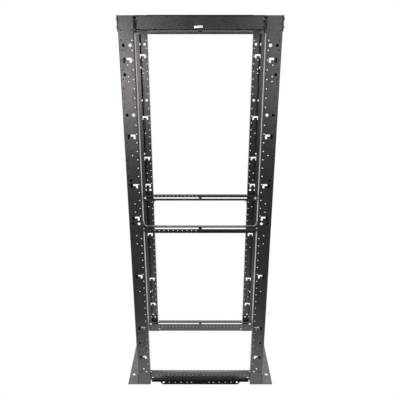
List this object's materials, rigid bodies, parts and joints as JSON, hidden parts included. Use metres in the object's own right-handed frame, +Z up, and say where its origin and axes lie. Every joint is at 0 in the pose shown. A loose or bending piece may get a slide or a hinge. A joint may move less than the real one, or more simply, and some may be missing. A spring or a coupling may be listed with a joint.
{
  "type": "four-post open equipment rack",
  "caption": "Tall open rack: folded steel posts in a front and a rear frame, tied by slotted beams, crossbars and side angles.",
  "frame": {"origin": "on the floor at the middle of the rack, half way between the left and right sides and between the front and rear frames", "axes": "+Z up, +X to the right seen from the front, +Y from the front frame to the rear frame"},
  "size_m": [0.9, 0.58, 2.1336],
  "materials": {
    "powder_coat": "black semi-gloss powder coat on folded sheet steel",
    "zinc": "bright zinc plated bolts"
  },
  "bodies": {
    "root": {"front_left_post": "powder_coat", "front_right_post": "powder_coat", "rear_left_post": "powder_coat", "rear_right_post": "powder_coat", "front_top_beam": "powder_coat", "rear_top_beam": "powder_coat", "front_base_beam": "powder_coat", "rear_base_beam": "powder_coat", "front_crossbar": "powder_coat", "rear_crossbar": "powder_coat", "left_base_angle": "powder_coat", "right_base_angle": "powder_coat", "left_top_angle": "powder_coat", "right_top_angle": "powder_coat"}
  },
  "joints": []
}
